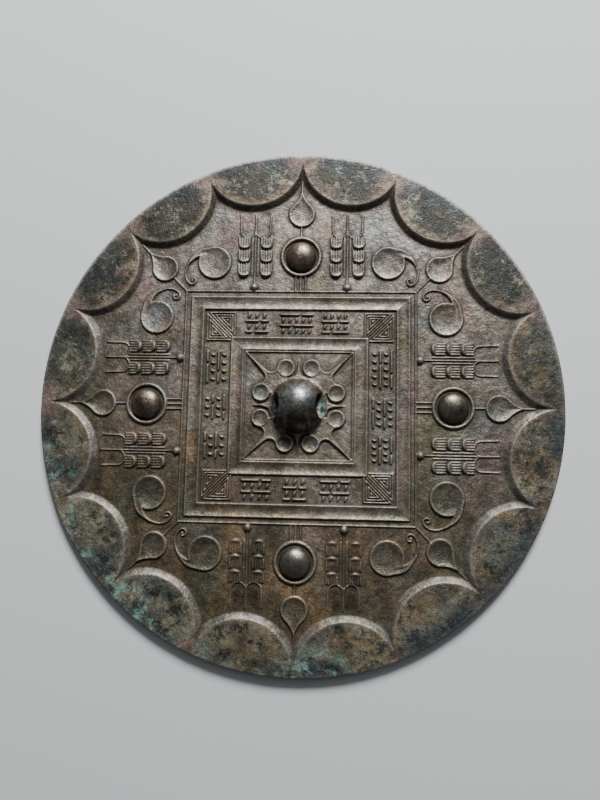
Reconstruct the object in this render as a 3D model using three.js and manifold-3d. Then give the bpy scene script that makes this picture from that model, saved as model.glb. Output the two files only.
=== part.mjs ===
// An ancient bronze mirror, seen from its patterned side. It is one casting: a thin round plate whose
// face (Z = 0, looking down) reflects, and whose back carries a rim of linked arcs, square frames,
// leaves, buds and bosses, and a pierced knob for a cord. All sizes are millimetres, +Z is up out of
// the pattern, and the origin is the centre of the reflecting face.

import * as THREE from 'three';
import { mergeVertices } from 'three/addons/utils/BufferGeometryUtils.js';
import Module from 'manifold-3d';

const wasm = await Module();
wasm.setup();

// Plate
const mirrorRadius = 80;
const plateThickness = 2.0;
const rimThickness = 3.4;

// Rim of linked arcs
const arcCount = 16;
const rimBandWidth = 1.85;
const arcDepth = 14.9;
const arcSlopeRun = 1.8;

// Square frames, from the centre outwards: a fine line, a hollow band, the inscription, a second
// hollow band, a gap and an outer ridge
const innerFieldHalf = 16.4;
const fineLineWidth = 0.6;
const innerBandWidth = 4.4;
const inscriptionWidth = 8.4;
const outerBandWidth = 4.5;
const outerRidgeGap = 1.2;
const outerRidgeWidth = 0.6;
const bandHeight = 0.6;
const bandHollow = 0.45;
const bandLip = 0.35;
const bandShoulderShare = 0.75;

// Knob and its cord tunnel
const knobRadius = 8.4;
const knobHeight = 8.3;
const knobSkirtRadius = 9.3;
const knobSkirtHeight = 0.9;
const tunnelWidth = 7.3;
const tunnelHeight = 5.3;

// Four-petalled ornament around the knob
const lobeRadius = 2.85;
const lobeOffset = 3.95;
const lobeDistance = 11.6;
const filletAside = 4.65;
const filletBeyond = 0.7;
const petalHeight = 0.8;
const thornRoot = 1.35;
const thornTip = 14.4;
const thornWaistShare = 0.35;
const petalCorner = 2.8;

// Hatched corner squares
const hatchSize = 9.1;
const hatchMargin = 0.7;
const hatchPitch = 0.97;
const hatchRidge = 0.55;
const hatchRings = 3;
const hatchDiagonalGap = 0.53;

// Inscription places
const strokeWidth = 0.6;
const strokeRows = 3;
const strokeGap = 0.48;
const strokeLead = 0.4;
const tickCount = 3;
const tickLean = 0.15;
const inscriptionMargin = 1.1;

// Bosses on the axes, with the short ties that join them to the frame
const bossOffset = 10.9;
const bossRadius = 4.75;
const bossHeight = 3.0;
const bossRingWidth = 1.3;
const bossRingHeight = 0.7;
const bossGroove = 0.55;
const tieCount = 3;
const tiePitch = 1.5;

// Peach-shaped buds in front of every second cusp
const budCount = 8;
const budInset = 2.45;
const budRadius = 4.2;
const budTip = 6.7;
const budStemEnd = 10.7;

// Comma leaves beside the corner buds
const commaOut = 8.9;
const commaIn = 8.8;
const commaRadius = 5.3;
const tailRootWidth = 3.3;
const tailSwellShare = 0.25;

// Upright grass leaves on both sides of each boss
const leafOffset = 14.5;
const leafGap = 4.1;
const leafEndGap = 2.25;
const leafHalfWidth = 5.2;
const leafInnerRidge = 1.02;
const leafRidgePitch = 0.93;
const leafBodyShare = 0.65;
const leafTiers = 3;
const earCrests = 3;
const earTaper = 0.6;
const earGap = 0.35;
const earGroove = 0.1;
const ballRadius = 1.15;
const ballGap = 0.9;

// Shared carving sizes
const lineWidth = 0.55;
const lineHeight = 0.45;
const discHeight = 0.6;
const dishEdge = 0.5;
const dishDepth = 0.45;
const rootDepth = 0.5;
const wallLean = 0.14;
const cutClearance = 1;

// Facets
const plateFacets = 60;
const arcFacets = 20;
const knobFacets = 24;
const bossFacets = 12;
const discFacets = 12;
const lobeFacets = 9;
const ballFacets = 6;
const tailSteps = 9;
const archSteps = 5;
const knobRings = 5;
const bossRings = 3;
const ballRings = 2;
const weldDistance = 1e-4;

// Places that follow from the sizes above
const cuspRadius = mirrorRadius - rimBandWidth;
const footRadius = cuspRadius - arcDepth;
const innerBandStart = innerFieldHalf + fineLineWidth;
const inscriptionStart = innerBandStart + innerBandWidth;
const inscriptionEnd = inscriptionStart + inscriptionWidth;
const outerBandEnd = inscriptionEnd + outerBandWidth;
const frameHalf = outerBandEnd + outerRidgeGap + outerRidgeWidth;
const hatchOuter = inscriptionEnd - hatchMargin;
const hatchInner = hatchOuter - hatchSize;
const bossDistance = frameHalf + bossOffset;
const bossOuterRadius = bossRadius + bossGroove + bossRingWidth;
const budDistance = footRadius - budInset;
const quarterTurn = Math.PI / 2;

// A closed geometry as a solid
function toSolid(geometry) {
  geometry.deleteAttribute('normal');
  geometry.deleteAttribute('uv');
  const welded = mergeVertices(geometry, weldDistance);
  return new wasm.Manifold(new wasm.Mesh({
    numProp: 3,
    vertProperties: Float32Array.from(welded.attributes.position.array),
    triVerts: Uint32Array.from(welded.index.array),
  }));
}

function fuse(solids) {
  return solids.reduce((sum, solid) => sum.add(solid));
}

// A solid turned about +Z; its profile is [radius, height] pairs from the bottom outwards and up
function turned(profile, facets, startAngle = 0) {
  const points = profile.map(([radius, height]) => new THREE.Vector2(radius, height));
  const geometry = new THREE.LatheGeometry(points, facets, startAngle);
  geometry.rotateX(quarterTurn);
  return toSolid(geometry);
}

// The profile of a dome from its foot up, without its top point
function domeProfile(radius, height, rings) {
  return Array.from({ length: rings }, (_, i) => {
    const angle = (i / rings) * quarterTurn;
    return [radius * Math.cos(angle), plateThickness + height * Math.sin(angle)];
  });
}

// A flat shape raised out of the plate, with its root sunk in the metal and its walls leaning in
function raised(shape, height, curveSegments = 4) {
  const geometry = new THREE.ExtrudeGeometry(shape, {
    depth: rootDepth,
    bevelEnabled: true,
    bevelThickness: height,
    bevelSize: wallLean,
    bevelOffset: -wallLean,
    bevelSegments: 1,
    curveSegments,
  });
  geometry.translate(0, 0, plateThickness - rootDepth);
  return toSolid(geometry);
}

// A straight ridge between two points, drawn in to a crest at its top
function ridge(x0, y0, x1, y1, width = lineWidth, height = lineHeight) {
  const length = Math.hypot(x1 - x0, y1 - y0);
  const geometry = new THREE.BoxGeometry(length, width, rootDepth + height);
  const crestInset = width / 3;
  const position = geometry.attributes.position;
  for (let i = 0; i < position.count; i += 1) {
    if (position.getZ(i) > 0) {
      position.setX(i, position.getX(i) - Math.sign(position.getX(i)) * crestInset);
      position.setY(i, 0);
    }
  }
  geometry.rotateZ(Math.atan2(y1 - y0, x1 - x0));
  geometry.translate((x0 + x1) / 2, (y0 + y1) / 2, plateThickness + (height - rootDepth) / 2);
  return toSolid(geometry);
}

// A ribbon along a smooth curve through the points, wide at its root and thin beyond it
function ribbon(points, rootWidth, thinWidth, rootShare, steps) {
  const curve = new THREE.SplineCurve(points.map(([x, y]) => new THREE.Vector2(x, y)));
  const left = [];
  const right = [];
  for (let i = 0; i <= steps; i += 1) {
    const t = i / steps;
    const swell = Math.max(0, 1 - t / rootShare);
    const half = (thinWidth + (rootWidth - thinWidth) * swell) / 2;
    const centre = curve.getPoint(t);
    const along = curve.getTangent(t);
    left.push(new THREE.Vector2(centre.x - along.y * half, centre.y + along.x * half));
    right.unshift(new THREE.Vector2(centre.x + along.y * half, centre.y - along.x * half));
  }
  return new THREE.Shape([...left, ...right]);
}

// The same carving on all four sides, and on both halves of a side when it is mirrored
function onFourSides(solid) {
  const sides = [0, 1, 2, 3].map((side) => solid.rotate([0, 0, side * 90]));
  return fuse(sides);
}

function mirroredPair(solid, normal) {
  return solid.add(solid.mirror(normal));
}

// A square frame about the centre; its profile is [half width, height] pairs
function squareFrame(profile) {
  const corners = 4;
  const atCorner = profile.map(([half, height]) => [half * Math.SQRT2, plateThickness + height]);
  return turned(atCorner, corners, Math.PI / corners);
}

function squareRidge(innerHalf, width, height) {
  const draft = width / 4;
  return squareFrame([
    [innerHalf, -rootDepth],
    [innerHalf + width, -rootDepth],
    [innerHalf + width, 0],
    [innerHalf + width - draft, height],
    [innerHalf + draft, height],
    [innerHalf, 0],
    [innerHalf, -rootDepth],
  ]);
}

function hollowBand(innerHalf, width) {
  const middle = innerHalf + width / 2;
  const quarter = (width / 2 - bandLip) / 2;
  const shoulder = bandHeight - bandHollow * bandShoulderShare;
  return squareFrame([
    [innerHalf, -rootDepth],
    [innerHalf + width, -rootDepth],
    [innerHalf + width, bandHeight],
    [innerHalf + width - bandLip, bandHeight],
    [middle + quarter, shoulder],
    [middle, bandHeight - bandHollow],
    [middle - quarter, shoulder],
    [innerHalf + bandLip, bandHeight],
    [innerHalf, bandHeight],
    [innerHalf, -rootDepth],
  ]);
}

// Plate with its rim: half-moon fields with sloping sides, which meet in the cusps of the linked arcs
function arcField(index) {
  const halfStep = Math.PI / arcCount;
  const topStart = footRadius + arcSlopeRun;
  const alongCusp = cuspRadius * Math.cos(halfStep);
  const centre = (cuspRadius ** 2 - topStart ** 2) / (2 * (alongCusp - topStart));
  const topRadius = centre - topStart;
  const field = turned([
    [0, plateThickness - rootDepth],
    [topRadius + arcSlopeRun, plateThickness - rootDepth],
    [topRadius + arcSlopeRun, plateThickness],
    [topRadius, rimThickness],
    [0, rimThickness],
  ], arcFacets);
  return field.translate([centre, 0, 0]).rotate([0, 0, (360 / arcCount) * (index + 0.5)]);
}

function plateWithRim() {
  const disc = turned([
    [0, 0],
    [mirrorRadius, 0],
    [mirrorRadius, rimThickness],
    [0, rimThickness],
  ], plateFacets);
  const beyond = mirrorRadius + cutClearance;
  const slabGeometry = new THREE.BoxGeometry(2 * beyond, 2 * beyond, plateThickness + cutClearance);
  slabGeometry.translate(0, 0, (plateThickness - cutClearance) / 2);
  const outerBand = turned([
    [cuspRadius, plateThickness - rootDepth],
    [beyond, plateThickness - rootDepth],
    [beyond, rimThickness + cutClearance],
    [cuspRadius, rimThickness + cutClearance],
    [cuspRadius, plateThickness - rootDepth],
  ], plateFacets);
  const fields = Array.from({ length: arcCount }, (_, index) => arcField(index));
  return disc.intersect(fuse([toSolid(slabGeometry), outerBand, ...fields]));
}

// Knob, with the tunnel for the cord along X
function knob() {
  return turned([
    [0, plateThickness - rootDepth],
    [knobSkirtRadius, plateThickness - rootDepth],
    [knobSkirtRadius, plateThickness + knobSkirtHeight / 2],
    [knobRadius, plateThickness + knobSkirtHeight],
    ...domeProfile(knobRadius, knobHeight, knobRings).slice(1),
    [0, plateThickness + knobHeight],
  ], knobFacets);
}

function cordTunnel() {
  const half = tunnelWidth / 2;
  const spring = tunnelHeight - half;
  const arch = new THREE.Shape();
  arch.moveTo(-half, 0);
  arch.lineTo(half, 0);
  arch.absarc(0, spring, half, 0, Math.PI, false);
  const length = 2 * (knobSkirtRadius + cutClearance);
  const geometry = new THREE.ExtrudeGeometry(arch, {
    depth: length,
    bevelEnabled: false,
    curveSegments: archSteps,
  });
  geometry.rotateX(quarterTurn);
  geometry.rotateZ(quarterTurn);
  geometry.translate(-length / 2, 0, plateThickness + knobSkirtHeight);
  return toSolid(geometry);
}

// A disc with a raised edge around a hollow top, and the space of that hollow
function dishedDisc(radius, height, facets) {
  const ground = plateThickness;
  return turned([
    [0, ground - rootDepth],
    [radius, ground - rootDepth],
    [radius - dishEdge, ground + height],
    [0, ground + height - dishDepth],
  ], facets);
}

function dishSpace(radius, height, facets) {
  const ground = plateThickness;
  return turned([
    [0, ground + height - dishDepth],
    [radius - dishEdge, ground + height],
    [0, ground + height + cutClearance],
  ], facets);
}

// Ornament around the knob: in each corner a petal whose spike runs to the frame's corner
function petalBody() {
  const nearLobe = new THREE.Vector2(lobeOffset, lobeDistance);
  const tip = new THREE.Vector2(innerFieldHalf, innerFieldHalf);
  const filletCentre = new THREE.Vector2(lobeOffset + filletAside, lobeDistance + filletBeyond);
  const fillet = filletCentre.distanceTo(nearLobe) - lobeRadius;
  const start = Math.atan2(nearLobe.y - filletCentre.y, nearLobe.x - filletCentre.x);
  const toTip = tip.clone().sub(filletCentre);
  const end = toTip.angle() - Math.acos(fillet / toTip.length());
  const shape = new THREE.Shape();
  shape.absarc(filletCentre.x, filletCentre.y, fillet, start, end, false);
  shape.lineTo(tip.x, tip.y);
  shape.absarc(filletCentre.y, filletCentre.x, fillet, quarterTurn - end, quarterTurn - start, false);
  shape.lineTo(nearLobe.y, nearLobe.x);
  shape.lineTo(petalCorner, petalCorner);
  shape.lineTo(nearLobe.x, nearLobe.y);
  return raised(shape, petalHeight, 3);
}

function thorn() {
  const root = knobSkirtRadius - rootDepth;
  const waist = root + (thornTip - root) * thornWaistShare;
  const shape = new THREE.Shape();
  shape.moveTo(root, -thornRoot);
  shape.quadraticCurveTo(waist, -thornRoot / 4, thornTip, 0);
  shape.quadraticCurveTo(waist, thornRoot / 4, root, thornRoot);
  return raised(shape, petalHeight, 2);
}

function knobOrnament() {
  const place = [lobeDistance, lobeOffset, 0];
  const lobe = dishedDisc(lobeRadius, petalHeight, lobeFacets).translate(place);
  const hollow = dishSpace(lobeRadius, petalHeight, lobeFacets).translate(place);
  const lobes = onFourSides(mirroredPair(lobe, [0, 1, 0]));
  const hollows = onFourSides(mirroredPair(hollow, [0, 1, 0]));
  const bodies = onFourSides(petalBody()).add(onFourSides(thorn()));
  return bodies.add(lobes).subtract(hollows);
}

// Corner squares of the inscription: triangles nested inside each other on both sides of a diagonal
function nestedTriangle(ring) {
  const leg = hatchInner + hatchPitch * ring;
  const top = hatchOuter - hatchPitch * ring;
  const gap = hatchDiagonalGap + hatchPitch * ring * Math.SQRT2;
  const longGap = gap + hatchRidge * (1 + Math.SQRT2);
  const shape = new THREE.Shape([
    new THREE.Vector2(leg, leg + gap),
    new THREE.Vector2(top - gap, top),
    new THREE.Vector2(leg, top),
  ]);
  if (ring < hatchRings - 1) {
    shape.holes.push(new THREE.Path([
      new THREE.Vector2(leg + hatchRidge, leg + longGap),
      new THREE.Vector2(leg + hatchRidge, top - hatchRidge),
      new THREE.Vector2(top - longGap, top - hatchRidge),
    ]));
  }
  return raised(shape, lineHeight);
}

function hatchSquare() {
  const triangles = Array.from({ length: hatchRings }, (_, ring) => nestedTriangle(ring));
  return mirroredPair(fuse(triangles), [1, -1, 0]);
}

// Inscription: where each of the three places on a side starts and ends, as shares of the free half
// side, for the sides facing +Y, -X, -Y and +X. Each place holds rows of strokes that touch nowhere.
const placeSpans = [
  [[-0.85, -0.49], [-0.31, 0.21], [0.34, 0.76]],
  [[-0.83, -0.43], [-0.23, 0.15], [0.33, 0.84]],
  [[-0.80, -0.35], [-0.15, 0.21], [0.39, 0.85]],
  [[-0.87, -0.28], [-0.12, 0.33], [0.46, 0.87]],
];

function strokeRow(ticks, left, right, low, high) {
  if (!ticks) {
    const split = (left + right) / 2;
    const middle = (low + high) / 2;
    return [
      ridge(left, middle, split - strokeGap, middle, strokeWidth),
      ridge(split + strokeGap, middle, right, middle, strokeWidth),
    ];
  }
  const pitch = (right - left) / tickCount;
  return Array.from({ length: tickCount }, (_, i) => {
    const x = left + (i + 0.5) * pitch;
    return ridge(x - tickLean, low, x + tickLean, high, strokeWidth);
  });
}

function inscriptionSide(side) {
  const low = inscriptionStart + inscriptionMargin;
  const rowHeight = (inscriptionWidth - 2 * inscriptionMargin) / strokeRows;
  const strokes = placeSpans[side].flatMap(([start, end], place) => {
    const rows = Array.from({ length: strokeRows }, (_, row) => {
      const base = low + row * rowHeight;
      const ticks = (side + place + row) % 2 === 1;
      const span = [start * hatchInner, end * hatchInner];
      return strokeRow(ticks, ...span, base + strokeLead, base + rowHeight - strokeLead);
    });
    return rows.flat();
  });
  return fuse(strokes).rotate([0, 0, side * 90]);
}

// Bosses with a ring around them, and the ties to the frame
function boss() {
  const ground = plateThickness;
  const grooveEnd = bossRadius + bossGroove;
  return turned([
    [0, ground - rootDepth],
    [bossOuterRadius, ground - rootDepth],
    [bossOuterRadius, ground],
    [grooveEnd + bossRingWidth / 2, ground + bossRingHeight],
    [grooveEnd, ground],
    ...domeProfile(bossRadius, bossHeight, bossRings),
    [0, ground + bossHeight],
  ], bossFacets);
}

function bossWithTies() {
  const tieStart = frameHalf - outerRidgeWidth / 2;
  const tieEnd = bossDistance - bossOuterRadius + bossRingWidth / 2;
  const ties = Array.from({ length: tieCount }, (_, i) => {
    const y = (i - (tieCount - 1) / 2) * tiePitch;
    return ridge(tieStart, y, tieEnd, y);
  });
  return fuse([boss().translate([bossDistance, 0, 0]), ...ties]);
}

// Buds on stems: a dished disc drawn out to a tip
function bud(stemStart) {
  const sides = Math.acos(budRadius / budTip);
  const shape = new THREE.Shape();
  shape.absarc(0, 0, budRadius, sides, 2 * Math.PI - sides, false);
  shape.lineTo(budTip, 0);
  const stems = [
    ridge(stemStart, 0, budDistance - budRadius + lineWidth, 0),
    ridge(budDistance + budTip - lineWidth, 0, budDistance + budStemEnd, 0),
  ];
  const hollow = dishSpace(budRadius, discHeight, discFacets);
  const body = raised(shape, discHeight, 6).subtract(hollow);
  return fuse([body.translate([budDistance, 0, 0]), ...stems]);
}

function buds() {
  const fromBoss = bossDistance + bossOuterRadius - bossRingWidth / 2;
  const fromCorner = (frameHalf - outerRidgeWidth) * Math.SQRT2;
  const all = Array.from({ length: budCount }, (_, i) => {
    const stemStart = i % 2 === 0 ? fromBoss : fromCorner;
    return bud(stemStart).rotate([0, 0, (i * 360) / budCount]);
  });
  return fuse(all);
}

// Comma leaf: a dished disc whose tail curls back beside it, as shares of the disc's radius
const tailPoints = [
  [0.56, 0.08], [0.60, 0.56], [0.53, 0.96], [0.30, 1.28], [-0.08, 1.57], [-0.57, 1.73],
  [-0.98, 1.68], [-1.27, 1.48], [-1.33, 1.24], [-1.17, 1.10], [-0.98, 1.16], [-0.96, 1.36],
];

function commaLeaf() {
  const disc = dishedDisc(commaRadius, discHeight, discFacets);
  const points = tailPoints.map(([x, y]) => [x * commaRadius, y * commaRadius]);
  const tail = raised(ribbon(points, tailRootWidth, lineWidth, tailSwellShare, tailSteps), discHeight);
  const hollow = dishSpace(commaRadius, discHeight, discFacets);
  const centre = [frameHalf + commaOut, frameHalf - commaIn, 0];
  return disc.add(tail).subtract(hollow).translate(centre);
}

// Grass leaf: a stem from a small ball, long ridges beside it, and tiers of shorter ridges that each
// start from a rounded tip; three prongs joined by arches stand above them
function ear(x0, x1, y0, y1) {
  const pitch = (y1 - y0) / earCrests;
  const profile = [new THREE.Vector2(y0, -rootDepth), new THREE.Vector2(y1, -rootDepth)];
  for (let i = earCrests - 0.5; i > 0; i -= 1) {
    profile.push(new THREE.Vector2(y0 + i * pitch, lineHeight));
    if (i > 1) {
      profile.push(new THREE.Vector2(y0 + (i - 0.5) * pitch, earGroove));
    }
  }
  const geometry = new THREE.ExtrudeGeometry(new THREE.Shape(profile), {
    depth: x1 - x0,
    bevelEnabled: false,
  });
  geometry.rotateX(quarterTurn);
  geometry.rotateZ(quarterTurn);
  const position = geometry.attributes.position;
  for (let i = 0; i < position.count; i += 1) {
    if (position.getX(i) < (x1 - x0) / 2) {
      position.setY(i, y1 - (y1 - position.getY(i)) * earTaper);
    }
  }
  geometry.translate(x0, 0, plateThickness);
  return toSolid(geometry);
}

function leafHalf(start, bodyEnd, end) {
  const earInside = leafInnerRidge + leafRidgePitch / 2;
  const tierLength = (bodyEnd - start) / leafTiers;
  const pieces = [ridge(start, leafInnerRidge, bodyEnd, leafInnerRidge)];
  for (let tier = 0; tier < leafTiers; tier += 1) {
    const earStart = start + tier * tierLength;
    pieces.push(ear(earStart, earStart + tierLength - earGap, earInside, leafHalfWidth));
  }
  const prong = leafHalfWidth - lineWidth;
  const bend = prong / 2;
  pieces.push(ridge(bodyEnd + bend, prong - lineWidth / 2, end, prong - lineWidth / 2));
  const arch = new THREE.Shape();
  arch.absarc(bodyEnd + bend, bend, bend, quarterTurn, quarterTurn * 3, false);
  arch.absarc(bodyEnd + bend, bend, bend - lineWidth, quarterTurn * 3, quarterTurn, true);
  pieces.push(raised(arch, lineHeight, 2));
  return fuse(pieces);
}

function grassLeaf() {
  const start = frameHalf + leafGap;
  const end = footRadius - leafEndGap;
  const bodyEnd = start + (end - start) * leafBodyShare;
  const ballCentre = frameHalf + ballGap;
  const ball = turned([
    [0, plateThickness - rootDepth],
    [ballRadius, plateThickness - rootDepth],
    ...domeProfile(ballRadius, ballRadius, ballRings),
    [0, plateThickness + ballRadius],
  ], ballFacets).translate([ballCentre, 0, 0]);
  const stem = ridge(ballCentre + ballRadius, 0, end, 0);
  return fuse([ball, stem, mirroredPair(leafHalf(start, bodyEnd, end), [0, 1, 0])]);
}

// The whole casting
function mirrorSolid() {
  const outerRidgeStart = frameHalf - outerRidgeWidth;
  const leafPair = mirroredPair(grassLeaf().translate([0, leafOffset, 0]), [0, 1, 0]);
  const commaPair = mirroredPair(commaLeaf(), [1, -1, 0]);
  const hatch = onFourSides(hatchSquare());
  const inscription = fuse([0, 1, 2, 3].map(inscriptionSide));
  return fuse([
    plateWithRim(),
    squareRidge(innerFieldHalf, fineLineWidth, lineHeight),
    hollowBand(innerBandStart, innerBandWidth),
    hollowBand(inscriptionEnd, outerBandWidth),
    squareRidge(outerRidgeStart, outerRidgeWidth, lineHeight),
    hatch,
    inscription,
    knobOrnament(),
    knob(),
    onFourSides(fuse([bossWithTies(), leafPair, commaPair])),
    buds(),
  ]).subtract(cordTunnel());
}

function toGeometry(solid) {
  const { vertProperties, triVerts } = solid.getMesh();
  const geometry = new THREE.BufferGeometry();
  geometry.setAttribute('position', new THREE.BufferAttribute(vertProperties, 3));
  geometry.setIndex(new THREE.BufferAttribute(triVerts, 1));
  geometry.computeVertexNormals();
  return geometry;
}

const bronze = new THREE.MeshStandardMaterial({ color: 0x6f6459, roughness: 0.5, metalness: 0.75 });
const mirror = new THREE.Mesh(toGeometry(mirrorSolid()), bronze);
mirror.name = 'mirror';

const part = new THREE.Group();
part.add(mirror);

export default part;
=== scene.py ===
import math

import bpy
import numpy as np
from mathutils import Matrix


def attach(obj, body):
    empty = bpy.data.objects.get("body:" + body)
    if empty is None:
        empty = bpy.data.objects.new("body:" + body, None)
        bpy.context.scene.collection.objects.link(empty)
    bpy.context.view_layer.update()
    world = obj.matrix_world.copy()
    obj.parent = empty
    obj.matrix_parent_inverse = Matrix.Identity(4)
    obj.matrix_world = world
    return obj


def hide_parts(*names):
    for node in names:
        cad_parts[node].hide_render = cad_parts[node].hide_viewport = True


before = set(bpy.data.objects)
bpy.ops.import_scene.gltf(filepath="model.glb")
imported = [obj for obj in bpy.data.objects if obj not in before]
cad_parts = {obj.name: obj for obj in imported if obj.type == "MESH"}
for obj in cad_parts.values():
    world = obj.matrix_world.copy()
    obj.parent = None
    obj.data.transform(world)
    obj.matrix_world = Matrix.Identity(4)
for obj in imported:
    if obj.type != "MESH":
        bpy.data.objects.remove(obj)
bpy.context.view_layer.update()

MM = 0.001
rng = np.random.default_rng(7)

# Plate and rim, in millimetres
MIRROR_R = 80.0
PLATE = 2.0
RIM = 3.4
ARCS = 16
CUSP_R = 79.1
SLOPE_RUN = 1.85
TOP_R = 15.778
TOP_CENTRE = 80.87
EDGE_ROUND = 0.45

# Square frames, as distances from the centre
FINE_LINE = (16.4, 17.0)
INNER_BAND = (17.0, 21.4)
OUTER_BAND = (29.8, 34.3)
OUTER_RIDGE = (35.5, 36.1)
BAND_LIP = 0.35
BAND_HEIGHT = 0.6
BAND_HOLLOW = 0.5

# Raised lines, the crisp raised lips of hollow forms, and the slope at their sides
LINE = 0.62
LINE_HEIGHT = 0.5
LIP_WIDTH = 0.36
LIP_HEIGHT = 0.70
LIP_SIDE = (-0.06, 0.24)

# Bosses, buds and commas round the square
BOSS_AT = 47.0
BOSS_R = 4.75
BOSS_HEIGHT = 3.0
RING_AT = 5.95
RING_HALF = 0.70
RING_HEIGHT = 0.75
TIE_ENDS = (35.8, 40.7)
TIE_ROWS = (-1.5, 0, 1.5)
TIE_WIDTH = 0.66
BUD_AT = 60.8
BUD_R = 4.2
BUD_TIP = 7.4
BUD_END = 10.8
BUD_SHOULDER = math.radians(48)
BUD_BEND = (4.7, 0.95)
BUD_TIP_HALF = 0.22
BUD_STEM = (53.4, 56.9)
CORNER_STEM = (35.8, 40.2)
COMMA_AT = (45.0, 27.3)
COMMA_R = 5.3

# Inscription places
CORNER_LOW = 20.0
CORNER_HIGH = 29.1
ROWS = 4
ROWS_START = 22.5
ROW_GAP = 0.55
TICK_REACH = 0.76
TICK_PITCH = 2.3
TICK_LEAN = 0.12
TICK_RISE = 0.36
DASH_REACH = 0.41
DASH_INSET = 0.3
DASH_GAP = 0.62
DASH_SPLITS = (0.36, 0.36, 0.62, 0.62)
BAR_WIDTH = 0.82
BAR_HEIGHT = 0.66

# Grass leaves along +X: ball, stem, tiers with husks and ridges, prongs
LEAF_OFFSET = 14.5
LEAF_BALL_AT = 37.1
LEAF_BALL_R = 1.2
LEAF_LINE = 0.54
LEAF_STEM = (38.0, 60.7)
SIDE_LINE = (40.9, 53.1)
SIDE_LINE_OFF = 0.9
TIERS = ((40.2, 44.9), (44.7, 49.3), (49.2, 53.3))
TIER_MIDDLE = 3.5
HUSK_HALF = 2.0
HUSK_CORNER = 1.9
RIDGE_ROWS = (1.85, 2.68, 3.5, 4.32, 5.15)
PRONG_BEND_AT = 55.1
PRONG_END = 60.5

# Knob, and the hollow lobes in pairs round it
KNOB_R = 8.4
KNOB_HEIGHT = 8.3
SKIRT_R = 9.3
SKIRT_HEIGHT = 0.9
SKIRT_SINK = 0.8
TUNNEL_WIDTH = 7.3
TUNNEL_HEIGHT = 5.3
LOBE_AT = (11.6, 3.95)
LOBE_R = 2.85
LOBE_LIP = 0.5
PETAL_ARC_OFF = (4.65, 0.7)
PETAL_TIP = (16.45, 16.45)
PETAL_WAIST = (2.8, 2.8)
PETAL_HEIGHT = 0.8
CORNER_LINE = (9.5, 16.5)

# Grid of the relief, and how many triangles the finished casting keeps
HALF = 80.6
KEEP_TRIANGLES = 188000
CELLS = round(2 * HALF / (0.2))
COUNT = CELLS + 1
STEP = 2 * HALF / CELLS
BLOCK_FLOOR = -1.0
FAR_OUTSIDE = -9
ROOT_HALF = math.sqrt(0.5)
axis = np.linspace(-HALF, HALF, COUNT).astype(np.float32)
X, Y = np.meshgrid(axis, axis)


def smooth(low, high, value):
    t = np.clip((value - low) / (high - low), 0, 1)
    return t * t * (3 - 2 * t)


def crest(distance, half_width):
    t = np.clip(np.abs(distance) / half_width, 0, 1)
    return (1 - t * t) ** 1.3


def dome(distance, radius, height):
    return height * np.sqrt(np.clip(1 - (distance / radius) ** 2, 0, 1))


def window(x0, x1, y0, y1):
    def index(value):
        return int(np.clip(round((value + HALF) / STEP), 0, CELLS))
    return slice(index(y0), index(y1) + 1), slice(index(x0), index(x1) + 1)


def around(a, b, margin):
    return (min(a[0], b[0]) - margin, max(a[0], b[0]) + margin,
            min(a[1], b[1]) - margin, max(a[1], b[1]) + margin)


def paint(field, box, height):
    at = window(*box)
    field[at] = np.maximum(field[at], height(X[at], Y[at]))


def turn(field):
    return field[::-1, :].T


def four_sides(field):
    once = turn(field)
    twice = turn(once)
    return np.maximum(np.maximum(field, once), np.maximum(twice, turn(twice)))


def to_segment(x, y, a, b):
    dx, dy = b[0] - a[0], b[1] - a[1]
    t = np.clip(((x - a[0]) * dx + (y - a[1]) * dy) / (dx * dx + dy * dy), 0, 1)
    return np.hypot(x - a[0] - t * dx, y - a[1] - t * dy)


# A raised line with a rounded top, through all the points
def stroke(field, points, width=LINE, height=LINE_HEIGHT):
    for a, b in zip(points[:-1], points[1:]):
        paint(field, around(a, b, width), lambda x, y: height * crest(to_segment(x, y, a, b), width / 2))


# A bar with a flat top
def bar(field, a, b):
    def height(x, y):
        return BAR_HEIGHT * smooth(-0.04, 0.24, BAR_WIDTH / 2 - to_segment(x, y, a, b))
    paint(field, around(a, b, BAR_WIDTH), height)


# Distance from an outline, positive inside it
def inside(x, y, outline):
    nearest = np.full(x.shape, 1e9, dtype=np.float32)
    within = np.zeros(x.shape, dtype=bool)
    for a, b in zip(outline, outline[1:] + outline[:1]):
        nearest = np.minimum(nearest, to_segment(x, y, a, b))
        if a[1] != b[1]:
            crossing = (a[1] > y) != (b[1] > y)
            within ^= crossing & (x < (b[0] - a[0]) * (y - a[1]) / (b[1] - a[1]) + a[0])
    return np.where(within, nearest, -nearest)


def spline(points, steps):
    p = np.array([points[0]] + list(points) + [points[-1]], dtype=float)
    out = []
    for i in range(1, len(p) - 2):
        for s in range(steps):
            t = s / steps
            out.append(0.5 * ((2 * p[i]) + (p[i + 1] - p[i - 1]) * t
                              + (2 * p[i - 1] - 5 * p[i] + 4 * p[i + 1] - p[i + 2]) * t * t
                              + (3 * p[i] - p[i - 1] - 3 * p[i + 1] + p[i + 2]) * t ** 3))
    out.append(p[-1])
    return [tuple(q) for q in out]


def blurred(field, sigma):
    fy = np.fft.fftfreq(field.shape[0], STEP)[:, None]
    fx = np.fft.rfftfreq(field.shape[1], STEP)[None, :]
    gain = np.exp(-2 * (math.pi * sigma) ** 2 * (fx * fx + fy * fy))
    return np.fft.irfft2(np.fft.rfft2(field) * gain, s=field.shape).astype(np.float32)


def cloud(size):
    noise = blurred(rng.standard_normal(X.shape).astype(np.float32), size)
    return noise / noise.std()


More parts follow.
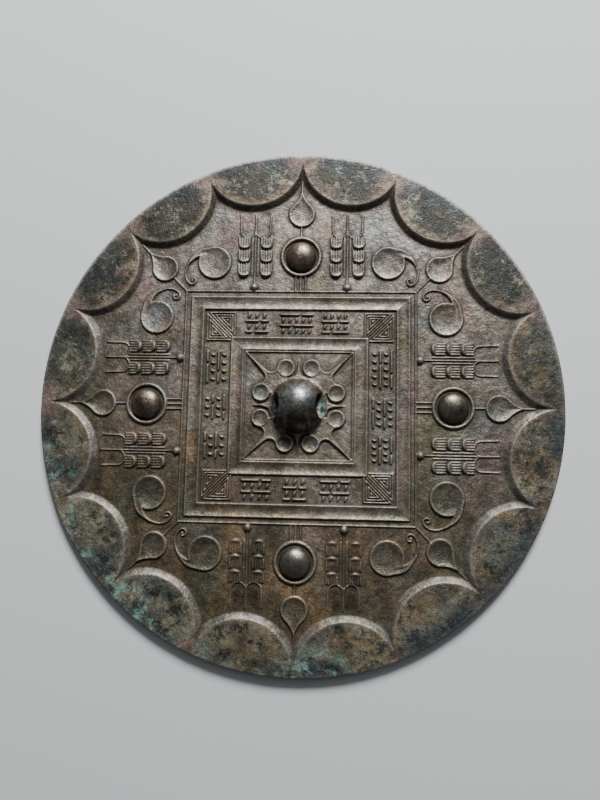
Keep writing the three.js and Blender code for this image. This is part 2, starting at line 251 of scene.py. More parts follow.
# Rim: its height from 0 to 1 with the sloping inner edges of the arc fields and the band outside
# the cusps, the places that belong to no field, and the distance outside the nearest field
def rim_share():
    share = smooth(CUSP_R - 0.25, CUSP_R + 0.35, np.hypot(X, Y))
    beside = np.full_like(X, 99)
    for i in range(ARCS):
        angle = (2 * i + 1) * math.pi / ARCS
        c, s = math.cos(angle), math.sin(angle)
        outside = np.hypot(X - TOP_CENTRE * c, Y - TOP_CENTRE * s) - TOP_R
        t = np.clip(1 - outside / SLOPE_RUN, 0, 1)
        share = np.maximum(share, 0.8 * t + 0.2 * t * t * (3 - 2 * t))
        beside = np.minimum(beside, outside)
    return share, (beside > 0.12) & (np.hypot(X, Y) < CUSP_R + 0.1), beside


def band(m, low, high):
    middle, half = (low + high) / 2, (high - low) / 2
    aside = np.abs(m - middle)
    hollow = BAND_HOLLOW * np.clip(1 - (aside / (half - BAND_LIP)) ** 2, 0, 1)
    return smooth(0, 0.25, half - aside) * (BAND_HEIGHT - hollow)


def frames():
    m = np.maximum(np.abs(X), np.abs(Y))
    field = np.maximum(band(m, *INNER_BAND), band(m, *OUTER_BAND))
    for low, high in (FINE_LINE, OUTER_RIDGE):
        field = np.maximum(field, LINE_HEIGHT * crest(m - (low + high) / 2, (high - low) / 2 + 0.05))
    return field


# Corner squares of the inscription: nested triangles on both sides of a diagonal
def hatch(field):
    pitch, first, half, apart = 0.75, 0.24, 0.29, 0.2

    def height(x, y):
        upper = np.minimum(np.minimum(x - CORNER_LOW, CORNER_HIGH - y), (y - x - apart) / math.sqrt(2))
        lower = np.minimum(np.minimum(y - CORNER_LOW, CORNER_HIGH - x), (x - y - apart) / math.sqrt(2))
        d = np.maximum(upper, lower)
        ridges = np.max([crest(d - first - pitch * k, half) for k in range(4)], axis=0)
        return np.where(np.maximum(x, y) > INNER_BAND[1], 0.55 * ridges, 0)
    paint(field, (CORNER_LOW - 1, CORNER_HIGH + 1) * 2, height)


# Inscription places: rows of plain strokes, dashes and leaning ticks in turn, that touch nowhere.
# Each place has its two ends along its side, as shares of the way to the corner square.
PLACES = [
    [(-0.85, -0.49), (-0.31, 0.21), (0.34, 0.76)],
    [(-0.83, -0.43), (-0.23, 0.15), (0.33, 0.84)],
    [(-0.80, -0.35), (-0.15, 0.21), (0.39, 0.85)],
    [(-0.87, -0.28), (-0.12, 0.33), (0.46, 0.87)],
]


def ticks(left, right, v):
    count = max(2, round((right - left) / TICK_PITCH))
    pitch = (right - left) / count
    middles = [left + (k + 0.5) * pitch for k in range(count)]
    return [((u - TICK_LEAN, v - TICK_RISE), (u + TICK_LEAN, v + TICK_RISE)) for u in middles]


def dashes(left, right, v, share):
    split = left + (right - left) * share
    return [((left + DASH_INSET, v), (split - DASH_GAP, v)), ((split + DASH_GAP, v), (right - DASH_INSET, v))]


def inscription(field):
    for side, places in enumerate(PLACES):
        c, s = round(math.cos(side * math.pi / 2)), round(math.sin(side * math.pi / 2))
        for place, (start, end) in enumerate(places):
            left, right = start * CORNER_LOW, end * CORNER_LOW
            v = ROWS_START
            for row in range(ROWS):
                leaning = (row + place + side) % 2
                reach = TICK_REACH if leaning else DASH_REACH
                v += reach
                marks = ticks(left, right, v) if leaning else dashes(left, right, v, DASH_SPLITS[row])
                v += reach + ROW_GAP
                for a, b in marks:
                    bar(field, *[(u * c - w * s, u * s + w * c) for u, w in (a, b)])


# One point of a round stretch
def on_circle(centre, radius, angle):
    return centre[0] + radius * math.cos(angle), centre[1] + radius * math.sin(angle)


# Petal on the diagonal: from a lobe along an arc to the tip, and back on the other side
def petal_outline():
    near = (LOBE_AT[1], LOBE_AT[0])
    centre = (near[0] + PETAL_ARC_OFF[0], near[1] + PETAL_ARC_OFF[1])
    radius = math.hypot(centre[0] - near[0], centre[1] - near[1]) - LOBE_R
    start = math.atan2(near[1] - centre[1], near[0] - centre[0]) + 2 * math.pi
    rise, run = PETAL_TIP[1] - centre[1], PETAL_TIP[0] - centre[0]
    end = math.atan2(rise, run) - math.acos(radius / math.hypot(run, rise)) + 2 * math.pi
    arc = [on_circle(centre, radius, a) for a in np.linspace(start, end, 15)]
    back = [(y, x) for x, y in reversed(arc)]
    return [near] + arc + [PETAL_TIP] + back + [LOBE_AT, PETAL_WAIST]


# One side of a thorn that points outwards between two lobes, from its foot to its tip
THORN_SIDE = [(8.6, -1.5), (10.0, -0.75), (11.8, -0.3), (14.5, -0.02)]


# Ornament round the knob: petals and thorns, hollow lobes over them, and lines to the corners
def knob_ornament():
    petal = petal_outline()
    thorn = THORN_SIDE + [(x, -y) for x, y in reversed(THORN_SIDE)]
    at = window(0, 17.2, -17.2, 17.2)
    x, y = X[at], Y[at]
    body = np.full(x.shape, FAR_OUTSIDE, dtype=np.float32)
    body = np.maximum(body, inside(x, y, petal))
    body = np.maximum(body, inside(x, -y, petal))
    body = np.maximum(body, inside(x, y, thorn))
    platform = PETAL_HEIGHT * smooth(-0.06, 0.2, body) - 0.18 * smooth(0.3, 0.9, body)
    far, near = LOBE_AT
    lobes = np.minimum(np.hypot(x - far, np.abs(y) - near), np.hypot(x - near, np.abs(y) - far))
    rise = 0.82 * smooth(-0.06, 0.22, LOBE_R - lobes)
    dish = 0.2 + 0.6 * np.clip(lobes / (LOBE_R - LOBE_LIP), 0, 1) ** 3
    height = np.where(lobes < LOBE_R - LOBE_LIP, dish, np.maximum(platform, rise))
    field = np.zeros_like(X)
    field[at] = np.maximum(height, 0)
    field = four_sides(field)
    for sx in (-1, 1):
        for sy in (-1, 1):
            stroke(field, [(x * sx, x * sy) for x in CORNER_LINE], 0.5, 0.7)
    return field


def boss(field):
    def height(x, y):
        d = np.hypot(x - BOSS_AT, y)
        ring = RING_HEIGHT * smooth(0, 0.42, RING_HALF - np.abs(d - RING_AT))
        return np.maximum(dome(d, BOSS_R, BOSS_HEIGHT), ring)
    paint(field, (BOSS_AT - 7.5, BOSS_AT + 7.5, -7.5, 7.5), height)
    for y in TIE_ROWS:
        stroke(field, [(x, y) for x in TIE_ENDS], TIE_WIDTH)


# A hollow form inside an outline: a crisp raised lip, and a bowl that falls away inside it
def bowl(d, radius):
    inner = np.clip((d - LIP_WIDTH) / (radius - LIP_WIDTH), 0, 1)
    return smooth(*LIP_SIDE, d) * (LIP_HEIGHT - LIP_HEIGHT * (1 - (1 - inner) ** 3.0))


# Round bud that draws out to a tip, with a line on from there
def bud_height(x, y):
    u = x - BUD_AT
    start, tip = on_circle((0, 0), BUD_R, BUD_SHOULDER), (BUD_TIP, BUD_TIP_HALF)
    side = [tuple((1 - t) ** 2 * start[k] + 2 * t * (1 - t) * BUD_BEND[k] + t * t * tip[k] for k in (0, 1))
            for t in np.linspace(0, 1, 9)[1:]]
    angles = np.linspace(BUD_SHOULDER, 2 * math.pi - BUD_SHOULDER, 40)
    circle = [on_circle((0, 0), BUD_R, a) for a in angles]
    outline = circle + [(px, -py) for px, py in side] + side[::-1]
    line = LINE_HEIGHT * crest(to_segment(u, y, (BUD_TIP - 0.5, 0), (BUD_END, 0)), 0.32)
    return np.maximum(bowl(inside(u, y, outline), BUD_R), line)


def bud(field):
    paint(field, (BUD_AT - 6, BUD_AT + 12, -6, 6), bud_height)
    stroke(field, [(x, 0) for x in BUD_STEM])


def diagonal_bud(field):
    paint(field, (35, 55, 35, 55), lambda x, y: bud_height((x + y) * ROOT_HALF, (y - x) * ROOT_HALF))
    stroke(field, [(x, x) for x in CORNER_STEM])


# Middle line of a comma's tail, from its ball to the curled end, in ball radii
TAIL = [(0.56, 0.08), (0.60, 0.56), (0.53, 0.96), (0.30, 1.28), (-0.08, 1.57), (-0.57, 1.73),
        (-0.98, 1.68), (-1.27, 1.48), (-1.33, 1.24), (-1.17, 1.10), (-0.98, 1.16), (-0.96, 1.36)]


def comma(field):
    cx, cy = COMMA_AT
    path = spline([(cx + px * COMMA_R, cy + py * COMMA_R) for px, py in TAIL], 8)

    def height(x, y):
        tail = np.full(x.shape, FAR_OUTSIDE, dtype=np.float32)
        for i, (px, py) in enumerate(path):
            share = i / (len(path) - 1)
            half = 0.28 + 1.75 * max(0, 1 - share / 0.40) ** 1.2
            tail = np.maximum(tail, half - np.hypot(x - px, y - py))
        return bowl(np.maximum(COMMA_R - np.hypot(x - cx, y - cy), tail), COMMA_R)
    box = (cx - 9, cx + 7, cy - 7, cy + 11)
    paint(field, box, height)
    dot = (cx - 1.08 * COMMA_R, cy + 1.33 * COMMA_R)
    paint(field, box, lambda x, y: 0.55 * crest(np.hypot(x - dot[0], y - dot[1]), 0.5))


# One tier on one side of a stem: a thick rounded husk, and parallel ridges out of it
def tier(field, y0, side, start, end):
    middle = y0 + side * TIER_MIDDLE

    def husk(x, y):
        over, ahead = np.abs(y - middle) - (HUSK_HALF - HUSK_CORNER), start + HUSK_CORNER - x
        d = HUSK_CORNER - np.hypot(np.maximum(over, 0), np.maximum(ahead, 0))
        nose = 0.34 + 0.70 * np.exp(-(np.maximum(x - start - 0.55, 0) / 0.75) ** 2)
        return smooth(-0.05, 0.5, d) * nose * smooth(0, 0.5, end - x)
    paint(field, (start - 1, end + 1, middle - 3, middle + 3), husk)
    for row in RIDGE_ROWS:
        lead = 1.0 + 0.45 * abs(row - TIER_MIDDLE)
        stroke(field, [(start + lead, y0 + side * row), (end - 0.2, y0 + side * row)], 0.56, 0.66)


# Side prong: it bends out of the stem and runs on straight
def prong(field, y0, side):
    bend = [(PRONG_BEND_AT - 1.95 * math.sin(t), y0 + side * (2.35 + 2.2 * math.cos(t)))
            for t in np.linspace(0, math.pi, 13)]
    stroke(field, bend, LEAF_LINE)
    stroke(field, [(PRONG_BEND_AT, y0 + side * 4.6), (PRONG_END, y0 + side * 4.75)], 0.56)


def leaf(field, y0):
    def ball(x, y):
        return dome(np.hypot(x - LEAF_BALL_AT, y - y0), LEAF_BALL_R, LEAF_BALL_R)
    paint(field, (LEAF_BALL_AT - 2, LEAF_BALL_AT + 2, y0 - 2, y0 + 2), ball)
    stroke(field, [(x, y0) for x in LEAF_STEM], LEAF_LINE)
    for side in (-1, 1):
        stroke(field, [(x, y0 + side * SIDE_LINE_OFF) for x in SIDE_LINE], 0.5, 0.45)
        for start, end in TIERS:
            tier(field, y0, side, start, end)
        prong(field, y0, side)


def relief():
    side = np.zeros_like(X)
    boss(side)
    leaf(side, LEAF_OFFSET)
    leaf(side, -LEAF_OFFSET)
    bud(side)
    half = np.zeros_like(X)
    comma(half)
    side = np.maximum(side, np.maximum(half, half.T))
    diagonal_bud(side)
    hatch(side)
    field = np.maximum(four_sides(side), frames())
    field = np.maximum(field, knob_ornament())
    inscription(field)
    return field


# Top of the casting: the relief worn unevenly, the rim, faint waves, and the rounded outer edge
ornament = relief()
rim, not_field, beside_field = rim_share()
wear = 0.97 + 0.05 * cloud(9.0)
top = PLATE + np.maximum(ornament * wear, (RIM - PLATE) * rim)
top += 0.020 * cloud(3.5) + 0.012 * cloud(1.1)
top = blurred(top, 0.085)
distance = np.hypot(X, Y)
edge = np.clip((distance - (MIRROR_R - EDGE_ROUND)) / EDGE_ROUND, 0, 1)
top -= EDGE_ROUND * (1 - np.sqrt(1 - edge * edge)) * (distance < MIRROR_R)
top[distance >= MIRROR_R] = RIM - EDGE_ROUND


def mesh_from(name, points, triangles):
    mesh = bpy.data.meshes.new(name)
    mesh.vertices.add(len(points))
    mesh.vertices.foreach_set("co", np.asarray(points, dtype=np.float32).ravel() * MM)
    triangles = np.asarray(triangles, dtype=np.int32)
    mesh.loops.add(triangles.size)
    mesh.loops.foreach_set("vertex_index", triangles.ravel())
    mesh.polygons.add(len(triangles))
    mesh.polygons.foreach_set("loop_start", np.arange(0, triangles.size, 3, dtype=np.int32))
    mesh.update(calc_edges=True)
    mesh.validate()
    made = bpy.data.objects.new(name, mesh)
    bpy.context.scene.collection.objects.link(made)
    return made


# The height map as a closed square block, with walls down to a floor below the reflecting face
def relief_block():
    points = np.stack([X.ravel(), Y.ravel(), top.ravel()], axis=1)
    index = np.arange(COUNT * COUNT, dtype=np.int32).reshape(COUNT, COUNT)
    a, b, c, d = index[:-1, :-1], index[:-1, 1:], index[1:, 1:], index[1:, :-1]
    tris = np.concatenate([np.stack([a, b, c], -1).reshape(-1, 3), np.stack([a, c, d], -1).reshape(-1, 3)])
    base = len(points)
    corners = [(-HALF, -HALF), (HALF, -HALF), (HALF, HALF), (-HALF, HALF)]
    points = np.vstack([points, [(x, y, BLOCK_FLOOR) for x, y in corners]])
    walls = []
    for k, border in enumerate((index[0, :], index[:, -1], index[-1, ::-1], index[::-1, 0])):
        low, next_low = base + k, base + (k + 1) % 4
        walls += [(low, q, p) for p, q in zip(border[:-1], border[1:])]
        walls.append((low, next_low, border[-1]))
    bottom = [(base, base + 3, base + 2), (base, base + 2, base + 1)]
    return mesh_from("relief_block", points, np.vstack([tris, walls, bottom]))


def revolved(name, profile, segments):
    points = []
    rings = []
    for radius, height in profile:
        if radius == 0:
            rings.append([len(points)] * segments)
            points.append((0, 0, height))
        else:
            rings.append(list(range(len(points), len(points) + segments)))
            angles = np.linspace(0, 2 * math.pi, segments, endpoint=False)
            points += [(radius * math.cos(t), radius * math.sin(t), height) for t in angles]
    tris = []
    for low, high in zip(rings[:-1], rings[1:]):
        for i in range(segments):
            j = (i + 1) % segments
            for tri in ((low[i], low[j], high[j]), (low[i], high[j], high[i])):
                if len(set(tri)) == 3:
                    tris.append(tri)
    return mesh_from(name, points, tris)


# What the block is cut to: the mirror's round outline, with a small rounding at the flat face
def round_cutter():
    rounding = [(MIRROR_R - 0.4, 0), (MIRROR_R - 0.18, 0.06), (MIRROR_R - 0.05, 0.2), (MIRROR_R, 0.42)]
    return revolved("round_cutter", [(0, 0)] + rounding + [(MIRROR_R, 8), (0, 8)], 320)


def knob():
    foot = PLATE - SKIRT_SINK
    profile = [(0, foot), (SKIRT_R, foot), (SKIRT_R, PLATE + 0.3), (SKIRT_R - 0.12, PLATE + 0.55),
               (SKIRT_R - 0.4, PLATE + 0.75), (KNOB_R + 0.12, PLATE + SKIRT_HEIGHT)]
    rings = 26
    low = math.asin(SKIRT_HEIGHT / KNOB_HEIGHT) + 0.01
    for i in range(rings):
        a = low + (math.pi / 2 - low) * i / rings
        profile.append((KNOB_R * math.cos(a), PLATE + KNOB_HEIGHT * math.sin(a)))
    profile.append((0, PLATE + KNOB_HEIGHT))
    return revolved("knob_dome", profile, 128)


# Distance along the tunnel from its middle, and its size there: the mouths flare a little
MOUTH = [(6.2, 1.0), (7.2, 1.04), (8.4, 1.12), (11.0, 1.25)]


def tunnel():
    half = TUNNEL_WIDTH / 2
    spring = TUNNEL_HEIGHT - half
    arch = [(-half, 0), (half, 0)] + [on_circle((0, spring), half, a) for a in np.linspace(0, math.pi, 25)]
    ground = PLATE + SKIRT_HEIGHT
    stations = [(-x, scale) for x, scale in reversed(MOUTH)] + MOUTH
    points = [(x, u * scale, ground + v * scale) for x, scale in stations for u, v in arch]
    n = len(arch)
    tris = []
    for s in range(len(stations) - 1):
        for i in range(n):
            j = (i + 1) % n
            p, q, r, t = s * n + i, s * n + j, (s + 1) * n + j, (s + 1) * n + i
            tris += [(p, q, r), (p, r, t)]
    last = (len(stations) - 1) * n
    for i in range(1, n - 1):
        tris.append((0, i + 1, i))
        tris.append((last, last + i, last + i + 1))
    return mesh_from("cord_tunnel", points, tris)


def joined(piece, operation, other):
    step = piece.modifiers.new(operation.lower(), "BOOLEAN")
    step.operation = operation
    step.solver = "MANIFOLD"
    step.object = other


def applied(piece):
    graph = bpy.context.evaluated_depsgraph_get()
    piece.data = bpy.data.meshes.new_from_object(piece.evaluated_get(graph))
    piece.modifiers.clear()


def cast():
    piece = relief_block()
    tools = [round_cutter(), knob(), tunnel()]
    for operation, tool in zip(("INTERSECT", "UNION", "DIFFERENCE"), tools):
        joined(piece, operation, tool)
    applied(piece)
    for tool in tools:
        bpy.data.objects.remove(tool)
    piece.data.calc_loop_triangles()
    thin = piece.modifiers.new("thin", "DECIMATE")
    thin.ratio = min(1.0, KEEP_TRIANGLES / len(piece.data.loop_triangles))
    thin.use_collapse_triangulate = True
    applied(piece)
    piece.name = "mirror_casting"
    piece.data.name = "mirror_casting"
    return piece


def sampled(field, x, y):
    u = np.clip((x + HALF) / STEP, 0, CELLS - 1e-3)
    v = np.clip((y + HALF) / STEP, 0, CELLS - 1e-3)
    i, j = u.astype(int), v.astype(int)
    fu, fv = u - i, v - j
    return (field[j, i] * (1 - fu) * (1 - fv) + field[j, i + 1] * fu * (1 - fv)
            + field[j + 1, i] * (1 - fu) * fv + field[j + 1, i + 1] * fu * fv)


# The hollow bowls of commas, buds and lobes
def bowl_fields(far, near):
    bowls = smooth(0.2, 1.0, COMMA_R - np.hypot(far - COMMA_AT[0], near - COMMA_AT[1]))
    bowls = np.maximum(bowls, smooth(0.2, 1.0, BUD_R - np.hypot(far - BUD_AT, near)))
    diagonal = np.hypot((far + near) * ROOT_HALF - BUD_AT, (far - near) * ROOT_HALF)
    bowls = np.maximum(bowls, smooth(0.2, 1.0, BUD_R - diagonal))
    return np.maximum(bowls, smooth(0.3, 0.9, LOBE_R - np.hypot(far - LOBE_AT[0], near - LOBE_AT[1])))


# The ground between the prongs of the two leaves at the bottom of the view
def prong_panels():
    beside_leaf = smooth(0.2, 0.8, 4.5 - np.abs(np.abs(X) - LEAF_OFFSET))
    return beside_leaf * smooth(53.6, 54.6, -Y) * smooth(60.8, 59.8, -Y)


# What the finish reads at each vertex, as two colour layers of four shares each. marks: dirt and
# painted shade in hollows, wear on crests, the rim, and bosses with knob. zones: the bowls, how deep
# a place lies in its arc field, the panels between prongs, and the bosses alone.
def surface_marks(piece):
    mesh = piece.data
    at = np.empty(len(mesh.vertices) * 3, dtype=np.float32)
    mesh.vertices.foreach_get("co", at)
    x, y, z = (at.reshape(-1, 3) / MM).T
    patterned = (z > 0.6).astype(np.float32)
    far, near = np.maximum(np.abs(X), np.abs(Y)), np.minimum(np.abs(X), np.abs(Y))
    rise = top - blurred(top, 0.9)
    fine = top - blurred(top, 0.3)
    # Dirt and painted shade in the hollows and creases, darker where the relief is sunk
    hollow = np.maximum(0.8 * smooth(0.03, 0.30, -rise), smooth(0.015, 0.11, -fine))
    domes = smooth(-0.3, 0.3, BOSS_R - np.hypot(far - BOSS_AT, near))
    domes = np.maximum(domes, smooth(-0.2, 0.4, KNOB_R + 0.3 - distance))
    depth = smooth(0.0, 5.0, -beside_field)
    layers = {
        "marks": (hollow, smooth(0.05, 0.35, rise), np.where(not_field, np.minimum(rim, 0.7), rim), domes),
        "zones": (bowl_fields(far, near), depth, prong_panels(), domes * (distance > 20)),
    }
    for name, fields in layers.items():
        shares = [sampled(field, x, y) * patterned for field in fields]
        layer = mesh.attributes.new(name, "FLOAT_COLOR", "POINT")
        layer.data.foreach_set("color", np.stack(shares, axis=1).astype(np.float32).ravel())


casting = cast()
surface_marks(casting)
casting.data.shade_smooth()
weigh = casting.modifiers.new("weigh", "WEIGHTED_NORMAL")
weigh.mode = "FACE_AREA"
weigh.weight = 50


class Finish:
    """A material's nodes, with short names for those that the finish uses again and again."""

    def __init__(self, name):
        self.made = bpy.data.materials.new(name)
        self.made.use_nodes = True
        self.nodes, self.links = self.made.node_tree.nodes, self.made.node_tree.links
        self.shader = self.nodes["Principled BSDF"]
        self.place = self.nodes.new("ShaderNodeTexCoord").outputs["Object"]

    def put(self, socket, value):
        if isinstance(value, (int, float)):
            socket.default_value = value
        elif isinstance(value, tuple):
            socket.default_value = (*value, 1.0)
        else:
            self.links.new(value, socket)

    # Clouds about one scale-th of a metre across
    def noise(self, scale, detail=4.0, rough=0.55, distortion=0.0):
        node = self.nodes.new("ShaderNodeTexNoise")
        node.inputs["Scale"].default_value = scale
        node.inputs["Detail"].default_value = detail
        node.inputs["Roughness"].default_value = rough
        node.inputs["Distortion"].default_value = distortion
        self.links.new(self.place, node.inputs["Vector"])
        return node.outputs["Fac"]

    # Goes smoothly from to_low to to_high while the value goes from low to high
    def remap(self, value, low, high, to_low=0.0, to_high=1.0):
        node = self.nodes.new("ShaderNodeMapRange")
        node.interpolation_type = "SMOOTHSTEP"
        for key, number in (("From Min", low), ("From Max", high), ("To Min", to_low), ("To Max", to_high)):
            node.inputs[key].default_value = number
        self.links.new(value, node.inputs["Value"])
        return node.outputs["Result"]

    # Patches with soft edges, out of a noise with the settings that are given last
    def blotch(self, low, high, to_low=0.0, to_high=1.0, *, of):
        return self.remap(self.noise(*of), low, high, to_low, to_high)

    def maths(self, kind, a, b=0.0):
        node = self.nodes.new("ShaderNodeMath")
        node.operation = kind
        self.put(node.inputs[0], a)
        self.put(node.inputs[1], b)
        return node.outputs[0]

    def times(self, first, *others):
        for other in others:
            first = self.maths("MULTIPLY", first, other)
        return first

    def plus(self, a, b):
        return self.maths("ADD", a, b)

    def minus(self, a, b):
        return self.maths("SUBTRACT", a, b)

    def mix(self, share, a, b, blend="MIX"):
        node = self.nodes.new("ShaderNodeMix")
        node.data_type = "RGBA"
        node.blend_type = blend
        self.put(node.inputs[0], share)
        self.put(node.inputs[6], a)
        self.put(node.inputs[7], b)
        return node.outputs[2]

    def tinted(self, colour, tint):
        return self.mix(1.0, colour, tint, "MULTIPLY")

    # The four shares of one colour layer
    def layer(self, name):
        node = self.nodes.new("ShaderNodeAttribute")
        node.attribute_name = name
        split = self.nodes.new("ShaderNodeSeparateColor")
        self.links.new(node.outputs["Color"], split.inputs[0])
        return *split.outputs, node.outputs["Alpha"]

    # What the surface carries, where a point lies in metres, and the noises used in several places
    def read_surface(self):
        self.hollow, self.crest_wear, rim_height, self.dome = self.layer("marks")
        self.bowls, self.field_depth, self.panels, self.bosses = self.layer("zones")
        where = self.nodes.new("ShaderNodeSeparateXYZ")
        self.links.new(self.place, where.inputs[0])
        self.across, self.along, self.height = where.outputs
        length = self.nodes.new("ShaderNodeVectorMath")
        length.operation = "LENGTH"
        self.links.new(self.place, length.inputs[0])
        self.from_centre = length.outputs["Value"]
        self.low_right = self.minus(self.across, self.along)
        self.patterned = self.remap(self.height, 0.0003, 0.0008)
        self.rim_field = self.remap(rim_height, 0.90, 0.99)
        self.sloped = self.times(self.remap(rim_height, 0.02, 0.14), self.minus(1.0, self.rim_field))
        self.medium = self.noise(85, 5, 0.6)
        self.small = self.noise(430, 5, 0.65)
        self.grain = self.noise(2300, 2, 0.5)


# Ground between the ornament: taupe with olive, grey and purple-pink clouds, browner towards the
# bottom of the view, dark olive in both lower corners, and darker in the bowls and between the prongs
def ground_colour(f):
    ground = f.mix(f.remap(f.medium, 0.36, 0.64), (0.118, 0.100, 0.082), (0.200, 0.176, 0.155))
    ground = f.mix(f.blotch(0.50, 0.64, 0, 0.75, of=(48, 5, 0.62, 0.4)), ground, (0.215, 0.146, 0.136))
    ground = f.mix(f.blotch(0.53, 0.64, 0, 0.70, of=(58, 5, 0.62, 0.4)), ground, (0.145, 0.158, 0.160))
    ground = f.mix(f.blotch(0.51, 0.66, 0, 0.80, of=(36, 5, 0.62)), ground, (0.120, 0.116, 0.066))
    upwards = f.plus(f.times(f.across, 1.4), f.times(f.along, 7.2))
    uneven = f.plus(upwards, f.times(f.minus(f.noise(22, 3), 0.5), 1.2))
    brown = f.mix(f.blotch(0.42, 0.58, of=(62, 5, 0.64, 0.3)), (0.096, 0.084, 0.050), (0.215, 0.138, 0.072))
    brown = f.mix(f.blotch(0.53, 0.62, 0, 0.75, of=(78, 6, 0.66, 0.3)), brown, (0.130, 0.142, 0.118))
    ground = f.mix(f.remap(uneven, -0.45, 0.15, 0.88, 0.0), ground, brown)
    left_corner = f.plus(f.times(f.across, -9.0), f.times(f.along, -6.0))
    ground = f.mix(f.remap(left_corner, 0.25, 0.80, 0.0, 0.65), ground, (0.052, 0.052, 0.030))
    right_corner = f.plus(f.times(f.across, 9.0), f.times(f.along, -6.0))
    ground = f.mix(f.remap(right_corner, 0.25, 0.80, 0.0, 0.50), ground, (0.066, 0.066, 0.044))
    in_bowl = f.times(f.bowls, f.remap(f.along, -0.04, 0.03, 0.60, 0.28),
                      f.blotch(0.36, 0.56, 0.5, 1.0, of=(120, 5, 0.6)))
    ground = f.mix(in_bowl, ground, (0.066, 0.074, 0.062))
    return f.mix(f.times(f.panels, 0.6), ground, (0.052, 0.040, 0.024))


# Arc fields: dark olive and brown, with painted shade in their cores and lighter towards the bottom of the
# view, with brown inner edges, ochre at the lower right, and pink, cream and black spots
def field_colour(f):
    colour = f.mix(f.remap(f.medium, 0.42, 0.58), (0.030, 0.031, 0.025), (0.078, 0.070, 0.046))
    colour = f.mix(f.blotch(0.50, 0.60, 0, 0.75, of=(55, 6, 0.66)), colour, (0.030, 0.036, 0.036))
    colour = f.mix(f.blotch(0.52, 0.60, 0, 0.80, of=(80, 7, 0.74, 0.3)), colour, (0.096, 0.066, 0.036))
    # Painted shade in the cores of the fields, as on a dished field lit from the top
    core_shade = f.times(f.remap(f.field_depth, 0.25, 0.9, 0.0, 0.50), f.blotch(0.40, 0.56, of=(40, 4, 0.6)))
    colour = f.mix(core_shade, colour, (0.032, 0.036, 0.033))
    colour = f.tinted(colour, f.remap(f.along, -0.065, 0.065, 2.35, 0.48))
    inner_edge = f.times(f.remap(f.field_depth, 0.02, 0.55, 0.85, 0.0), f.blotch(0.42, 0.56, of=(50, 4, 0.6)),
                         f.remap(f.along, -0.03, 0.03, 0.5, 1.0))
    colour = f.mix(inner_edge, colour, (0.115, 0.074, 0.040))
    colour = f.mix(f.blotch(0.55, 0.62, 0, 0.70, of=(105, 7, 0.76, 0.2)), colour, (0.150, 0.104, 0.088))
    ochre = f.times(f.blotch(0.42, 0.58, of=(70, 5, 0.66)), f.remap(f.low_right, 0.020, 0.065, 0.0, 0.75),
                    f.remap(f.field_depth, 0.15, 0.70))
    colour = f.mix(ochre, colour, (0.138, 0.096, 0.046))
    cream = f.times(f.blotch(0.54, 0.58, of=(175, 8, 0.82, 0.3)), f.remap(f.along, -0.03, 0.05, 0.90, 0.50),
                    f.remap(f.low_right, 0.015, 0.080, 1.0, 0.45),
                    f.remap(f.across, -0.070, -0.030, 0.65, 1.0))
    colour = f.mix(cream, colour, (0.270, 0.250, 0.180))
    return f.mix(f.blotch(0.53, 0.57, 0, 0.82, of=(240, 6, 0.76)), colour, (0.012, 0.014, 0.012))


# Outer edge of the rim: blue-black, pinkish at the cusps between the fields, and a pale painted
# highlight at the very lip in the upper half
def rim_edge_colour(f, colour):
    edge_blue = f.times(f.remap(f.from_centre, 0.073, 0.078), f.blotch(0.42, 0.56, of=(45, 4, 0.6)),
                        f.remap(f.low_right, 0.030, 0.085, 0.50, 0.82))
    colour = f.mix(edge_blue, colour, (0.018, 0.030, 0.036))
    bearing = f.times(f.maths("ARCTAN2", f.along, f.across), float(ARCS))
    at_cusp = f.times(f.remap(f.maths("COSINE", bearing), 0.1, 0.85), f.remap(f.from_centre, 0.072, 0.076),
                      f.blotch(0.42, 0.56, 0.0, 0.75, of=(60, 5, 0.65, 0.2)),
                      f.remap(f.low_right, 0.020, 0.090, 1.0, 0.25))
    colour = f.mix(at_cusp, colour, (0.175, 0.118, 0.102))
    # Painted highlight on the lip in the upper half, where the edge faces the light
    lip_highlight = f.times(f.remap(f.from_centre, 0.0790, 0.0797, 0.0, 0.7), f.remap(f.along, -0.01, 0.05))
    return f.mix(lip_highlight, colour, (0.300, 0.330, 0.310))


# Slopes of the arc fields: rubbed bright, and painted shade in brown on those in the upper half of the view
def slope_colour(f, colour):
    rubbed = f.times(f.sloped, f.blotch(0.25, 0.60, 0.35, 0.85, of=(300, 4, 0.6)))
    colour = f.mix(rubbed, colour, (0.165, 0.156, 0.142))
    # Painted shade on the slopes in the upper half, which face away from the light
    painted_shade = f.times(f.sloped, f.remap(f.along, 0.010, 0.050, 0.0, 0.80))
    return f.mix(painted_shade, colour, (0.060, 0.046, 0.034))


# How much blue-green crust lies on the fields, in patches along the lower left edge
def crust_share(f):
    low_left = f.minus(f.times(f.across, -4.0), f.times(f.along, 7.0))
    reach = f.plus(low_left, f.times(f.minus(f.noise(26, 4), 0.5), 2.6))
    crusty = f.times(f.remap(reach, 0.10, 0.85), f.times(f.rim_field, f.remap(f.from_centre, 0.068, 0.0795)))
    return f.times(f.blotch(0.48, 0.60, of=(210, 7, 0.74, 0.3)), crusty)


# The crust, and a few specks of it on all the fields
def crusted(f, colour, crust):
    colour = f.mix(f.times(crust, 0.75), colour, (0.110, 0.235, 0.190))
    speck = f.times(f.blotch(0.62, 0.69, of=(300, 6, 0.72)), f.rim_field)
    return f.mix(f.times(speck, 0.7), colour, (0.130, 0.300, 0.260))
